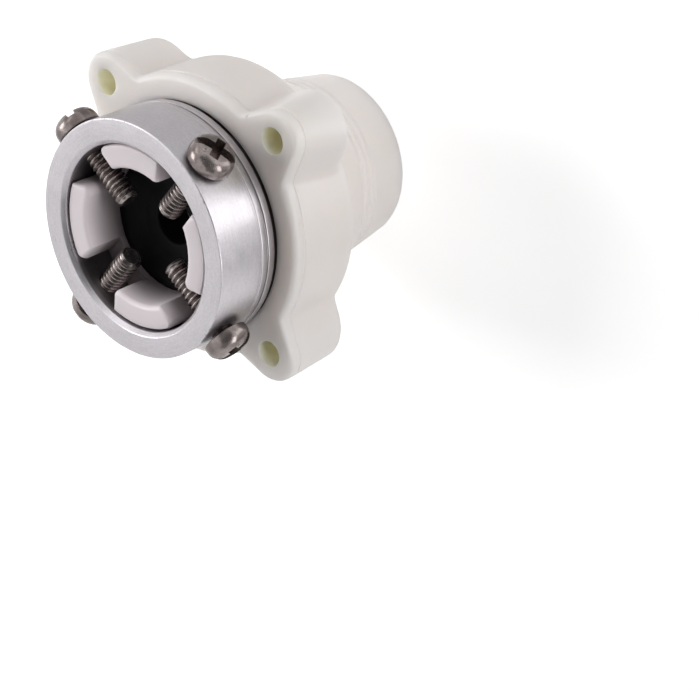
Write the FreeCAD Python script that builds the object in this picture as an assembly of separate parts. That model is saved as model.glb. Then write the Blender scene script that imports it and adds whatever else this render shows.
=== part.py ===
import FreeCAD, Part
import math
import os

# Hose adapter for a plain water tap, all sizes in millimetres.
# Frame: the axis of the bore is Z, the open end of the outlet stands on Z = 0,
# and +Z points to the tap. The grip ears lie on +X, +Y, -X and -Y.

# Outlet tail: a tapered hose end
TAIL_HEIGHT = 23.9
TAIL_TIP_R = 15.4
TAIL_TAPER_DEG = 8.9
TAIL_TIP_EDGE = 0.8
TAIL_WALL = 4.4
OUTLET_DEPTH = 22.0
INLET_R = 5.5

# Threaded boss of the body, and the rubber packing that lies in it
BOSS_R = 18.9
BOSS_HEIGHT = 4.1
BOSS_WALL = 2.0
BOSS_EDGE = 0.4
FOOT_GROOVE_WIDTH = 2.0
FOOT_GROOVE_DEPTH = 1.5
PACKING_RECESS = 3.2
PACKING_PROUD = 0.1
PACKING_CLEARANCE = 0.1
PACKING_HOLE_R = 4.0
PACKING_NECK = 5.0
PACKING_RIM = 5.8
PACKING_DISH_DEPTH = 1.2
PACKING_DISH_RUN = 4.0

# Clamp ring: skirt with the thread, inner shoulder, mouth, fine line above the lip
RING_HEIGHT = 12.7
RING_GAP = 0.75
RING_SKIRT_WALL = 2.0
RING_THREAD_CLEARANCE = 0.08
RING_BORE_R = 16.5
RING_SHOULDER_HEIGHT = 4.7
RING_MOUTH_CHAMFER = 0.7
RING_LIP_HEIGHT = 1.4
RING_LINE_WIDTH = 0.4
RING_LINE_DEPTH = 0.3

# Barrel with its four grip ears, measured outwards from the ring
BARREL_HEIGHT = 15.8
BARREL_MARGIN = 4.1
BARREL_SHOULDER = 2.2
BARREL_SHOULDER_STEPS = 2
EARS = 4
EAR_REACH = 7.6
EAR_TIP_ROUND = 4.9
EAR_ROOT_INSET = 3.6
EAR_ROOT_ROUND = 7.3
EAR_BACK_WIDEN = 1.7
EAR_BACK_SHIFT = 2.3
EAR_BACK_SET = 2.2
EAR_BACK_EDGE = 1.3
EAR_NECK_ROUND = 2.5
EAR_CORE_INSET = 5.3
EAR_CORE_R = 2.35
EAR_CORE_DEPTH = 11.0
PLATE_LINE_DEPTH = 2.0
PLATE_LINE_WIDTH = 0.35
PLATE_LINE_INSET = 0.3
PLATE_EDGE = 0.5

# Guide plate: a flange held under the shoulder, with four upright petals
GUIDE_CLEARANCE = 0.2
GUIDE_FLANGE_HEIGHT = 1.1
GUIDE_TURN_DEG = 3.6
PETAL_CLEARANCE = 0.7
PETAL_WALL = 3.8
PETAL_TOP_SET = 1.0
PETAL_SPAN_DEG = 55.0
PETAL_CORNER_ROUND = 1.4
PETAL_EDGE = 0.5

# Clamp screws: pan head, with a slot crossed by a short recess
SCREWS = 4
SCREW_TURN_DEG = 6.4
SCREW_SET = 4.9
SCREW_BACKED_OUT = (0.6, 1.7, 0.8, 0.6)
SCREW_SLOT_TURN_DEG = (105, 0, 50, 120)
SCREW_R = 2.1
SCREW_LENGTH = 15.0
SCREW_FIT = 0.05
SCREW_TIP_CHAMFER = 0.4
SCREW_CUP_R = 1.3
SCREW_CUP_DEPTH = 0.5
HEAD_R = 4.0
HEAD_HEIGHT = 3.3
HEAD_RIM = 1.1
HEAD_CROWN_R = 1.9
HEAD_CROWN_STEPS = 2
SLOT_WIDTH = 1.2
SLOT_DEPTH = 1.3
CROSS_REACH = 2.3
CROSS_DEPTH = 1.9

# Radii worked out from the sizes above
OUTLET_R = TAIL_TIP_R - TAIL_WALL
RECESS_R = BOSS_R - BOSS_WALL
PACKING_R = RECESS_R - PACKING_CLEARANCE
PACKING_NECK_R = INLET_R - PACKING_CLEARANCE
RING_THREAD_R = BOSS_R + RING_THREAD_CLEARANCE
RING_R = RING_THREAD_R + RING_SKIRT_WALL
PETAL_R = RING_BORE_R - PETAL_CLEARANCE
PETAL_BORE_R = PETAL_R - PETAL_WALL
GUIDE_R = RING_THREAD_R - GUIDE_CLEARANCE
BARREL_R = RING_R + BARREL_MARGIN
EAR_TIP_R = BARREL_R + EAR_REACH
EAR_ROOT_CENTRE = BARREL_R - EAR_ROOT_INSET
EAR_CORE_CENTRE = EAR_TIP_R - EAR_CORE_INSET

# Heights worked out from the sizes above
FACE_Z = TAIL_HEIGHT + BARREL_HEIGHT
BOSS_TOP_Z = FACE_Z + BOSS_HEIGHT
PACKING_Z = BOSS_TOP_Z - PACKING_RECESS
PACKING_TOP_Z = BOSS_TOP_Z + PACKING_PROUD
RING_Z = FACE_Z + RING_GAP
RING_TOP_Z = RING_Z + RING_HEIGHT
SHOULDER_Z = RING_Z + RING_SHOULDER_HEIGHT
SCREW_Z = RING_TOP_Z - SCREW_SET
GUIDE_Z = SHOULDER_Z - GUIDE_FLANGE_HEIGHT
PETAL_TOP_Z = RING_TOP_Z - PETAL_TOP_SET

# Overlap of joined solids, and the tolerance of a search for edges
LAP = 0.5
NEAR = 0.001

UP = FreeCAD.Vector(0, 0, 1)
ORIGIN = FreeCAD.Vector(0, 0, 0)


def revolve(points):
    """A full turn about Z of a closed outline given as (radius, height) corners."""
    corners = [FreeCAD.Vector(r, 0, z) for r, z in points]
    face = Part.Face(Part.makePolygon(corners + corners[:1]))
    return face.revolve(ORIGIN, UP, 360)


def rounding(start, finish, steps):
    """The (radius, height) corners of a rounding drawn with a few flats: a quarter of
    an ellipse that leaves the start upwards or downwards and meets the finish level."""
    corners = []
    for n in range(steps + 1):
        turn = math.pi / 2 * n / steps
        r = finish[0] + (start[0] - finish[0]) * math.cos(turn)
        z = start[1] + (finish[1] - start[1]) * math.sin(turn)
        corners.append((r, z))
    return corners


def polar(radius, degrees, height=0.0):
    """The point at a radius and an angle about Z."""
    turn = math.radians(degrees)
    return FreeCAD.Vector(radius * math.cos(turn), radius * math.sin(turn), height)


def turned(shape, degrees):
    """A copy of a shape turned about Z."""
    copy = shape.copy()
    copy.rotate(ORIGIN, UP, degrees)
    return copy


def middle_radius(edge):
    """How far the middle of an edge lies from the Z axis."""
    middle = edge.valueAt((edge.FirstParameter + edge.LastParameter) / 2)
    return math.hypot(middle.x, middle.y)


def flat_edges(shape, height, least_r=0.0):
    """The edges that lie flat at a height, no nearer to the Z axis than a radius."""
    return [edge for edge in shape.Edges
            if abs(edge.BoundBox.ZMin - height) < NEAR
            and abs(edge.BoundBox.ZMax - height) < NEAR
            and middle_radius(edge) > least_r - NEAR]


def upright_edges(shape, height):
    """The edges that stand at least so tall."""
    return [edge for edge in shape.Edges if edge.BoundBox.ZLength > height]


def lobe_wire(tip_r, tip_round, root_centre, root_round, height):
    """An ear seen from above: a small arc at the tip, a wide arc at the root,
    and the two lines that touch both."""
    tip_centre = tip_r - tip_round
    lean = math.asin((root_round - tip_round) / (tip_centre - root_centre))
    along = FreeCAD.Vector(math.sin(lean), math.cos(lean), 0)
    across = FreeCAD.Vector(along.x, -along.y, 0)
    tip = FreeCAD.Vector(tip_centre, 0, height)
    root = FreeCAD.Vector(root_centre, 0, height)
    tip_left, tip_right = tip + along * tip_round, tip + across * tip_round
    root_left, root_right = root + along * root_round, root + across * root_round
    tip_end = tip + FreeCAD.Vector(tip_round, 0, 0)
    root_end = root - FreeCAD.Vector(root_round, 0, 0)
    return Part.Wire([
        Part.Arc(tip_right, tip_end, tip_left).toShape(),
        Part.makeLine(tip_left, root_left),
        Part.Arc(root_left, root_end, root_right).toShape(),
        Part.makeLine(root_right, tip_right),
    ])


def with_ears(disc, lobe, inset):
    """A disc joined to four copies of an ear, with the necks between them rounded."""
    step = 360 / EARS
    lobes = [turned(lobe, step * n) for n in range(EARS)]
    solid = turned(disc, step / 2).fuse(lobes).removeSplitter()
    tall = upright_edges(solid, solid.BoundBox.ZLength / 2)
    corners = [edge for edge in tall if abs(middle_radius(edge) - BARREL_R + inset) < NEAR]
    return solid.makeFillet(EAR_NECK_ROUND + inset, corners)


def eared_plate(low, high, inset):
    """A flat plate with the outline of barrel and ears, drawn in evenly by an inset."""
    disc = Part.makeCylinder(BARREL_R - inset, high - low, UP * low)
    wire = lobe_wire(EAR_TIP_R - inset, EAR_TIP_ROUND - inset, EAR_ROOT_CENTRE,
                     EAR_ROOT_ROUND - inset, low)
    lobe = Part.Face(wire).extrude(UP * (high - low))
    return with_ears(disc, lobe, inset)


def ear_rib(top):
    """The rib behind one ear, on +X: towards the back it widens evenly and moves in
    to the axis, and its back end has a sloped edge."""
    low = TAIL_HEIGHT + EAR_BACK_SET
    back = lobe_wire(EAR_TIP_R + EAR_BACK_WIDEN - EAR_BACK_SHIFT,
                     EAR_TIP_ROUND + EAR_BACK_WIDEN, EAR_ROOT_CENTRE - EAR_BACK_SHIFT,
                     EAR_ROOT_ROUND + EAR_BACK_WIDEN, low)
    front = lobe_wire(EAR_TIP_R, EAR_TIP_ROUND, EAR_ROOT_CENTRE, EAR_ROOT_ROUND, top)
    solid = Part.makeLoft([back, front], True, True)
    return solid.makeChamfer(EAR_BACK_EDGE, flat_edges(solid, low, BARREL_R))


def barrel():
    """The barrel in three layers: ribbed body, the fine line round it, front plate."""
    line_top = FACE_Z - PLATE_LINE_DEPTH
    line_low = line_top - PLATE_LINE_WIDTH
    shoulder = rounding((BARREL_R, TAIL_HEIGHT + BARREL_SHOULDER),
                        (BARREL_R - BARREL_SHOULDER, TAIL_HEIGHT), BARREL_SHOULDER_STEPS)
    disc = revolve([(0, line_low), (BARREL_R, line_low)] + shoulder + [(0, TAIL_HEIGHT)])
    ribbed = with_ears(disc, ear_rib(line_low), 0)
    core = eared_plate(line_low, line_top, PLATE_LINE_INSET)
    plate = eared_plate(line_top, FACE_Z, 0)
    return ribbed.fuse([core, plate.makeChamfer(PLATE_EDGE, flat_edges(plate, FACE_Z))])


def tail_radius(z):
    """The tail's outer radius at a height."""
    return TAIL_TIP_R + z * math.tan(math.radians(TAIL_TAPER_DEG))


def tail():
    """The tapered tail, with a small edge round its open end."""
    top = TAIL_HEIGHT + LAP
    return revolve([(0, 0), (TAIL_TIP_R - TAIL_TIP_EDGE, 0),
                    (tail_radius(TAIL_TIP_EDGE), TAIL_TIP_EDGE), (tail_radius(top), top), (0, top)])


def adapter_body():
    """The moulded body: tail, barrel, ears and boss, with a groove round the boss's
    foot, the water way and the cores."""
    boss = Part.makeCylinder(BOSS_R, BOSS_HEIGHT + LAP, UP * (FACE_Z - LAP))
    boss = boss.makeChamfer(BOSS_EDGE, flat_edges(boss, BOSS_TOP_Z))
    solid = barrel().fuse([tail(), boss])
    foot_r, foot_z = BOSS_R + FOOT_GROOVE_WIDTH, FACE_Z - FOOT_GROOVE_DEPTH
    cuts = [
        revolve([(BOSS_R, foot_z), (foot_r, foot_z), (foot_r, FACE_Z), (BOSS_R, FACE_Z)]),
        Part.makeCylinder(RECESS_R, PACKING_RECESS, UP * PACKING_Z),
        Part.makeCylinder(INLET_R, PACKING_Z),
        Part.makeCylinder(OUTLET_R, OUTLET_DEPTH),
        Part.makeCone(OUTLET_R, INLET_R, OUTLET_R - INLET_R, UP * OUTLET_DEPTH),
    ]
    for n in range(EARS):
        foot = polar(EAR_CORE_CENTRE, 360 / EARS * n, FACE_Z - EAR_CORE_DEPTH)
        cuts.append(Part.makeCylinder(EAR_CORE_R, EAR_CORE_DEPTH, foot))
    return solid.cut(cuts).removeSplitter()


def rubber_packing():
    """The packing: a thick washer whose top slopes down to a flat round its hole, and
    whose neck lines the inlet below."""
    rim_r = PACKING_R - PACKING_RIM
    dish_z = PACKING_TOP_Z - PACKING_DISH_DEPTH
    neck_z = PACKING_Z - PACKING_NECK
    return revolve([
        (PACKING_HOLE_R, neck_z), (PACKING_NECK_R, neck_z), (PACKING_NECK_R, PACKING_Z),
        (PACKING_R, PACKING_Z), (PACKING_R, PACKING_TOP_Z), (rim_r, PACKING_TOP_Z),
        (rim_r - PACKING_DISH_RUN, dish_z), (PACKING_HOLE_R, dish_z),
    ])


def clamp_ring():
    """The turned ring: chamfered mouth, threaded skirt, a fine line above its back
    lip, and four tapped holes."""
    top, lip = RING_TOP_Z, RING_Z + RING_LIP_HEIGHT
    line_r = RING_R - RING_LINE_DEPTH
    solid = revolve([
        (RING_THREAD_R, RING_Z), (RING_R, RING_Z), (RING_R, lip), (line_r, lip),
        (line_r, lip + RING_LINE_WIDTH), (RING_R, lip + RING_LINE_WIDTH), (RING_R, top),
        (RING_BORE_R + RING_MOUTH_CHAMFER, top), (RING_BORE_R, top - RING_MOUTH_CHAMFER),
        (RING_BORE_R, SHOULDER_Z), (RING_THREAD_R, SHOULDER_Z),
    ])
    wall = RING_R - RING_BORE_R
    for n in range(SCREWS):
        side = polar(1, SCREW_TURN_DEG + 360 / SCREWS * n)
        foot = side * (RING_BORE_R - wall / 2) + UP * SCREW_Z
        solid = solid.cut(Part.makeCylinder(SCREW_R + SCREW_FIT, 2 * wall, foot, side))
    return solid


def petal():
    """One petal on +X: a piece of a ring with rounded upright corners and top edges."""
    half = PETAL_SPAN_DEG / 2
    foot = UP * GUIDE_Z
    outer = Part.makeCircle(PETAL_R, foot, UP, -half, half)
    inner = Part.makeCircle(PETAL_BORE_R, foot, UP, -half, half)
    sides = [Part.makeLine(polar(PETAL_BORE_R, turn, GUIDE_Z), polar(PETAL_R, turn, GUIDE_Z))
             for turn in (-half, half)]
    outline = Part.Wire(Part.__sortEdges__([outer, inner] + sides))
    height = PETAL_TOP_Z - GUIDE_Z
    solid = Part.Face(outline).extrude(UP * height)
    solid = solid.makeFillet(PETAL_CORNER_ROUND, upright_edges(solid, height / 2))
    return solid.makeChamfer(PETAL_EDGE, flat_edges(solid, PETAL_TOP_Z))


def guide_plate():
    """The guide plate: a thin flange and the petals that stand on it."""
    flange = revolve([(PETAL_BORE_R, GUIDE_Z), (GUIDE_R, GUIDE_Z),
                      (GUIDE_R, SHOULDER_Z), (PETAL_BORE_R, SHOULDER_Z)])
    middle = GUIDE_TURN_DEG + 180 / SCREWS
    petals = [turned(petal(), middle + 360 / SCREWS * n) for n in range(SCREWS)]
    return flange.fuse(petals).removeSplitter()


def slot_cutter(length, width, depth):
    """A box that cuts a slot of this depth into the top of a head."""
    cutter = Part.makeBox(length, width, depth + LAP)
    cutter.translate(FreeCAD.Vector(-length / 2, -width / 2, HEAD_HEIGHT - depth))
    return cutter


def screw_head():
    """A pan head standing on Z = 0: a straight rim, a rounded crown, the slot across
    it and the deeper short cross."""
    crown = rounding((HEAD_R, HEAD_RIM), (HEAD_CROWN_R, HEAD_HEIGHT), HEAD_CROWN_STEPS)
    head = revolve([(0, 0), (HEAD_R, 0)] + crown + [(0, HEAD_HEIGHT)])
    slot = slot_cutter(2 * (HEAD_R + LAP), SLOT_WIDTH, SLOT_DEPTH)
    arm = slot_cutter(2 * CROSS_REACH, SLOT_WIDTH, CROSS_DEPTH)
    return head.cut([slot, arm, turned(arm, 90)])


def clamp_screw(n):
    """One clamp screw: head on the ring's outside, plain shank, cupped tip inwards."""
    tip = -SCREW_LENGTH
    shank = revolve([
        (0, tip + SCREW_CUP_DEPTH), (SCREW_CUP_R, tip),
        (SCREW_R - SCREW_TIP_CHAMFER, tip), (SCREW_R, tip + SCREW_TIP_CHAMFER),
        (SCREW_R, LAP), (0, LAP),
    ])
    turn = SCREW_TURN_DEG + 360 / SCREWS * n
    screw = screw_head().fuse(shank)
    screw.rotate(ORIGIN, UP, SCREW_SLOT_TURN_DEG[n])
    screw.rotate(ORIGIN, FreeCAD.Vector(0, 1, 0), 90)
    screw.rotate(ORIGIN, UP, turn)
    screw.translate(polar(RING_R + SCREW_BACKED_OUT[n], turn, SCREW_Z))
    return screw


def export(name, shape):
    """Write one piece, and report it."""
    shape.Solids[0].exportStep("parts/" + name + ".step")
    print(name, len(shape.Solids), "solid", round(shape.Volume, 1), "cubic mm")


def main():
    os.makedirs("parts", exist_ok=True)
    export("adapter_body", adapter_body())
    export("rubber_packing", rubber_packing())
    export("clamp_ring", clamp_ring())
    export("guide_plate", guide_plate())
    for n in range(SCREWS):
        export("clamp_screw_%d" % (n + 1), clamp_screw(n))


main()
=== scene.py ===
import math

import bmesh
import bpy
import numpy as np
from bpy.props import FloatProperty, FloatVectorProperty, PointerProperty
from mathutils import Matrix, Vector


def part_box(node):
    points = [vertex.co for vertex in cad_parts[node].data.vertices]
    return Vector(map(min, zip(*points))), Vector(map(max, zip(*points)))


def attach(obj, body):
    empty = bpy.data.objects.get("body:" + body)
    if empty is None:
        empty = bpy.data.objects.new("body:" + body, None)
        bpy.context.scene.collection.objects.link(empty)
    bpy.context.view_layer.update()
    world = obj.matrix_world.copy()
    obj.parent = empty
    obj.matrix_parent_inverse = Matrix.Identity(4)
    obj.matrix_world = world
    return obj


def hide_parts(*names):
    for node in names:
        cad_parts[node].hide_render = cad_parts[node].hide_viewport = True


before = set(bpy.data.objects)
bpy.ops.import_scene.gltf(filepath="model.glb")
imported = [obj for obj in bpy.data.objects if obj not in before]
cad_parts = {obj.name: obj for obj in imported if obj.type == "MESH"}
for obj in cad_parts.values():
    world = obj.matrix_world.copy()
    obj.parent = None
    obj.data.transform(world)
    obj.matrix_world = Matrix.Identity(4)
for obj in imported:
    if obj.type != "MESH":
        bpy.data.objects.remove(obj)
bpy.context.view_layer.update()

bl_info = {
    "name": "Hose adapter",
    "version": (1, 0, 0),
    "blender": (4, 5, 0),
    "location": "3D View > Sidebar > Hose adapter",
    "description": "Builds the visible pieces and the stage of a tap hose adapter",
    "category": "Add Mesh",
}

MM = 0.001
TURN = 2 * math.pi
WHITE = (1, 1, 1, 1)

# Heights and radii of the frame's nodes at rest
BODY_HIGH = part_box("adapter_body")[1]
RING_LOW, RING_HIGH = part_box("clamp_ring")
GUIDE_LOW, GUIDE_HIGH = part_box("guide_plate")
PACKING_LOW, PACKING_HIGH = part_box("rubber_packing")
EAR_TIP_R = BODY_HIGH.x
RING_R = RING_HIGH.x
GUIDE_R = GUIDE_HIGH.x
PACKING_R = PACKING_HIGH.x

# Tail, outlet and barrel
FACE_Z = 39.7 * MM
TAIL_HEIGHT = 23.9 * MM
TAIL_TIP_R = 15.4 * MM
TAIL_ROOT_R = 19.14 * MM
TAIL_ROOT_SOFT = 0.5 * MM
TAIL_LIP = 0.8 * MM
TAIL_GROOVES = 3
TAIL_GROOVE_TOP = 13.2 * MM
TAIL_GROOVE_PITCH = 1.75 * MM
TAIL_GROOVE_WIDTH = 1.1 * MM
OUTLET_R = 11.0 * MM
OUTLET_DEPTH = 22.0 * MM
OUTLET_EDGE = 0.4 * MM
INLET_R = 5.5 * MM
BARREL_R = 25.08 * MM
SHOULDER_ROUND = 2.4 * MM
BODY_COLUMNS = 720

# Ears, their cored holes and the line round the front plate
EAR_COUNT = 4
EAR_TIP_ROUND = 4.9 * MM
EAR_ROOT_INSET = 3.6 * MM
EAR_ROOT_ROUND = 7.3 * MM
EAR_WIDEN = 1.7 * MM
EAR_SHIFT = 2.3 * MM
EAR_BACK_Z = 26.1 * MM
EAR_BACK_ROUND = 1.6 * MM
EAR_BACK_STEP = 0.05 * MM
EAR_CORE_CENTRE = 27.38 * MM
EAR_CORE_R = 2.35 * MM
EAR_CORE_DEPTH = 11.0 * MM
CUTTER_REACH = 0.6 * MM
LINE_TOP = 37.8 * MM
LINE_LOW = 37.25 * MM
LINE_DEPTH = 0.2 * MM
LINE_EDGE = 0.04 * MM
LINE_SLOPE = 0.07 * MM

# Boss, the groove round its foot and the packing's seat
BOSS_R = 18.9 * MM
BOSS_EDGE = 0.4 * MM
BOSS_PITCH = 1.5 * MM
BOSS_THREAD_DEPTH = 0.6 * MM
BOSS_THREAD_FLAT = 0.15
BOSS_THREAD_FADE = 0.8 * MM
GROOVE_R = 20.72 * MM
GROOVE_Z = 38.2 * MM
GROOVE_EDGE = 0.12 * MM
RECESS_R = 16.9 * MM
SEAT_Z = 40.6 * MM
SMALL_EDGE = 0.2 * MM

# Ring; each side line is its height over the lip, then its depth
RING_BORE_R = 16.5 * MM
RING_SKIRT_R = 18.98 * MM
RING_EDGE = 0.15 * MM
RING_STEPS = 288
SHOULDER_Z = 45.15 * MM
MOUTH_CHAMFER = 0.75 * MM
LIP_Z = 41.85 * MM
LIP_LINE = 0.4 * MM
LIP_LINE_DEPTH = 0.25 * MM
LIP_LINE_SLOPE = 0.05 * MM
SIDE_LINES = ((1.55 * MM, 0.06 * MM), (1.9 * MM, 0.025 * MM))
SIDE_LINE_HALF = 0.1 * MM

# Guide plate and packing
PETAL_COUNT = 4
PETAL_R = 16.2 * MM
PETAL_BORE_R = 12.0 * MM
PETAL_SPAN = math.radians(57)
PETAL_CORNER = 1.4 * MM
PETAL_EDGE = 0.9 * MM
PETAL_OUTER_EDGE = 0.35
GUIDE_TURN = math.radians(3.6)
PACKING_HOLE_R = 4.0 * MM
PACKING_NECK_R = 5.4 * MM
PACKING_RIM = 5.8 * MM
PACKING_DISH_RUN = 4.0 * MM
PACKING_DISH_DEPTH = 1.2 * MM

# Clamp screws; the slots' turns are in degrees
SCREW_COUNT = 4
SCREW_Z = 48.25 * MM
SCREW_TURN = math.radians(6.4)
SCREW_BACKED_OUT = (0.6 * MM, 1.7 * MM, 0.8 * MM, 0.6 * MM)
SCREW_SLOT_TURN = (54, 0, 50, 120)
SCREW_R = 2.1 * MM
SCREW_HOLE_R = SCREW_R + 0.05 * MM
SCREW_LENGTH = 15.0 * MM
SCREW_PITCH = 0.97 * MM
SCREW_THREAD_DEPTH = 0.42 * MM
SCREW_THREAD_FLAT = 0.3
SCREW_THREAD_FADE = 0.9 * MM
SCREW_CUP_R = 1.3 * MM
SCREW_TIP_R = SCREW_R - 0.4 * MM
SCREW_STEPS = 40
HEAD_R = 4.0 * MM
HEAD_HEIGHT = 3.3 * MM
HEAD_RIM = 0.9 * MM
HEAD_CROWN_R = 1.7 * MM
HEAD_CROWN_RISE = 0.1 * MM
HEAD_STEPS = 96
DIMPLE_PLACE_R = 2.35 * MM
DIMPLE_R = 0.33 * MM
DIMPLE_DEPTH = 0.22 * MM
SLOT_WIDTH = 1.7 * MM
SLOT_DEPTH = 1.3 * MM
SLOT_FOOT = 0.82
CROSS_REACH = 2.3 * MM
CROSS_DEPTH = 1.9 * MM

# Painted shade in the groove behind the ring, and a dirt speck on the body
GROOVE_PAINTED_SHADE = (0.16, 0.13, 0.115)
GROOVE_PAINTED_SHADE_INWARD = 0.8 * MM
SPECK_COLOUR = (0.33, 0.22, 0.19)
SPECK_PLACE = (6.14 * MM, -25.29 * MM, 39.7 * MM)
SPECK_CORE_R = 0.4 * MM
SPECK_R = 0.8 * MM
SPECK_UNEVEN = 0.5 * MM
SPECK_MOST = 0.6

# Painted shade, specks and wear on the ring, down from its front face and in from its side
GRAIN_RUN = 2.2 * MM
BORE_PAINTED_SHADE = (0.1, 0.095, 0.1)
BORE_PAINTED_SHADE_FROM, BORE_PAINTED_SHADE_TO, BORE_PAINTED_SHADE_MOST = 0.7 * MM, 2.0 * MM, 0.6
BORE_SPECKS = (0.3, 0.285, 0.29)
BORE_SPECKS_DEPTH = 2.2 * MM
BORE_SPECKS_TURN, BORE_SPECKS_HALF = math.radians(58), math.radians(16)
LINE_PAINTED_SHADE = (0.16, 0.145, 0.14)
LINE_PAINTED_SHADE_FROM, LINE_PAINTED_SHADE_TO, LINE_PAINTED_SHADE_MOST = 0.015 * MM, 0.06 * MM, 0.75
LINE_PAINTED_SHADE_MIDDLE, LINE_PAINTED_SHADE_HALF = LIP_Z + 1.1 * MM, 1.15 * MM
NICK_COLOUR = (0.26, 0.25, 0.26)
NICK_REACH = 0.3 * MM

# Painted shade on the petals, a factor a channel, and dirt and painted shade on the screw heads
PETAL_PAINTED_SHADE = (0.42, 0.4, 0.4)
PETAL_PAINTED_SHADE_LOW, PETAL_PAINTED_SHADE_TOP = 1.0 * MM, 1.2 * MM
HEAD_SHADE_RUN = 0.9 * MM
HEAD_SHADE_START = 0.35
HEAD_DIRT_LEAST = 0.45

# The photograph's camera: its place, and its right, up and backward directions
CAMERA_PLACE = Vector((-62.6, -269.5, 277.1)) * MM
CAMERA_RIGHT = Vector((-0.5147, -0.5576, -0.6513))
CAMERA_UP = Vector((0.8537, -0.4038, -0.3290))
CAMERA_BACK = Vector((-0.0796, -0.7253, 0.6838))
CAMERA_LENS = 109.03
CAMERA_CLIP = 10 * MM
SENSOR = 36.0

# Stage, in metres
FLOOR_REACH = 3.0
FLOOR_GREY = 0.8
FLOOR_GLOW = 0.64
LAMP_TARGET = (0, 0, 35 * MM)
# Name, place, width, height, share of the lamp power
LAMPS = (
    ("left_soft_box", (0.47, 0.34, 0.55), 0.45, 0.45, 1.0),
    ("right_soft_box", (-0.25, -0.6, 0.16), 0.35, 0.2, 0.28),
)
# From azimuth, to azimuth, brightness
FLOOR_CARDS = ((236, 262, 2.3), (262, 282, 1.1), (282, 372, 0.68), (130, 196, 1.1),
               (214, 236, 0.85), (196, 214, 0.58), (12, 130, 0.6))
FLOOR_CARD_R = (36 * MM, 220 * MM)
FLOOR_CARD_Z = 0.2 * MM
FLOOR_CARD_STEPS = 13
# Name, direction from the object, distance, width, height, brightness
FACING_CARDS = (
    ("dark_card", (-0.2, -0.76, 0.62), 0.6, 0.75, 0.75, 0.1),
    ("front_card", (0.08, 0.73, 0.68), 0.8, 0.6, 0.6, 0.92),
    ("mouth_card", (-0.76, -0.2, 0.57), 0.6, 0.42, 0.42, 0.25),
    ("chamfer_card", (0.81, -0.245, 0.53), 0.6, 0.16, 0.3, 2.4),
    ("left_card", (0.625, 0.408, 0.666), 0.8, 0.36, 0.36, 5.5),
    ("right_card", (-0.764, -0.622, 0.0), 0.26, 0.16, 0.075, 5.0),
)
FACING_CARD_Z = 40 * MM


def grid_mesh(name, points, closed):
    """A mesh from a grid of points, rows by columns by 3. Each row is a closed loop, and
    the last row joins the first where the section is closed."""
    rows, columns = points.shape[:2]
    down = np.arange(rows if closed else rows - 1)[:, None]
    across = np.arange(columns)[None, :]
    below, beside = (down + 1) % rows, (across + 1) % columns
    quads = np.stack([down * columns + across, down * columns + beside,
                      below * columns + beside, below * columns + across], axis=-1)
    quads = quads.reshape(-1, 4)
    mesh = bpy.data.meshes.new(name)
    mesh.vertices.add(rows * columns)
    mesh.vertices.foreach_set("co", points.reshape(-1).astype(np.float32))
    mesh.loops.add(quads.size)
    mesh.loops.foreach_set("vertex_index", quads.reshape(-1).astype(np.int32))
    mesh.polygons.add(len(quads))
    mesh.polygons.foreach_set("loop_start", np.arange(0, quads.size, 4, dtype=np.int32))
    mesh.update(calc_edges=True)
    mesh.validate()
    return mesh


def shade_smooth(mesh, sharp_degrees):
    """Shades smooth apart from edges sharper than the angle."""
    mesh.polygons.foreach_set("use_smooth", np.ones(len(mesh.polygons), dtype=bool))
    mesh.set_sharp_from_angle(angle=math.radians(sharp_degrees))


def finish_mesh(mesh, sharp_degrees=35):
    """Merges poles and seams, turns the faces outwards, and shades smooth."""
    work = bmesh.new()
    work.from_mesh(mesh)
    bmesh.ops.remove_doubles(work, verts=work.verts, dist=0.002 * MM)
    bmesh.ops.recalc_face_normals(work, faces=work.faces)
    work.to_mesh(mesh)
    work.free()
    shade_smooth(mesh, sharp_degrees)
    mesh.update()
    return mesh


def new_object(mesh):
    """An object at the origin for a mesh, in the scene."""
    obj = bpy.data.objects.new(mesh.name, mesh)
    bpy.context.scene.collection.objects.link(obj)
    return obj


def grid_object(name, points, closed, sharp_degrees=35):
    """An object with a finished mesh from a grid of points."""
    return new_object(finish_mesh(grid_mesh(name, points, closed), sharp_degrees))


def revolve_points(profile, steps):
    """A profile of (radius, height) corners carried round Z: each point of a row is
    (radius cos, radius sin, height)."""
    profile = np.array(profile)
    turn = np.linspace(0, TURN, steps, endpoint=False)
    x = profile[:, :1] * np.cos(turn)
    y = profile[:, :1] * np.sin(turn)
    z = np.repeat(profile[:, 1:], steps, axis=1)
    return np.stack([x, y, z], axis=-1)


def rounded(profile, radius, steps=5):
    """A closed profile with each corner replaced by an arc-like curve: the corner is the
    middle control point of a quadratic curve between two points at most a radius away."""
    corners = np.array(profile)
    out = []
    t = np.linspace(0, 1, steps)[:, None]
    for before, corner, after in zip(np.roll(corners, 1, axis=0), corners,
                                     np.roll(corners, -1, axis=0)):
        cut = []
        for side in (before - corner, after - corner):
            length = max(np.linalg.norm(side), MM / 100)
            cut.append(corner + side * min(0.45, radius / length))
        out.append((1 - t) ** 2 * cut[0] + 2 * t * (1 - t) * corner + t ** 2 * cut[1])
    return np.concatenate(out)


def quarter(steps):
    """The sines and cosines of a quarter turn in equal steps."""
    turn = np.linspace(0, math.pi / 2, steps)
    return np.sin(turn), np.cos(turn)


def thread_valley(along, turn, pitch, flat):
    """How deep a thread is at a place along its axis and a turn round it, from 0 on the
    crest to 1 in the valley: a triangle wave once a pitch, with both ends cut flat."""
    wave = np.abs(((along / pitch - turn / TURN) % 1.0) * 2 - 1)
    return np.clip(wave * (1 + 2 * flat) - flat, 0, 1)


def join(objects):
    """Joins objects into the first."""
    with bpy.context.temp_override(active_object=objects[0], selected_editable_objects=objects):
        bpy.ops.object.join()
    return objects[0]


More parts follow.
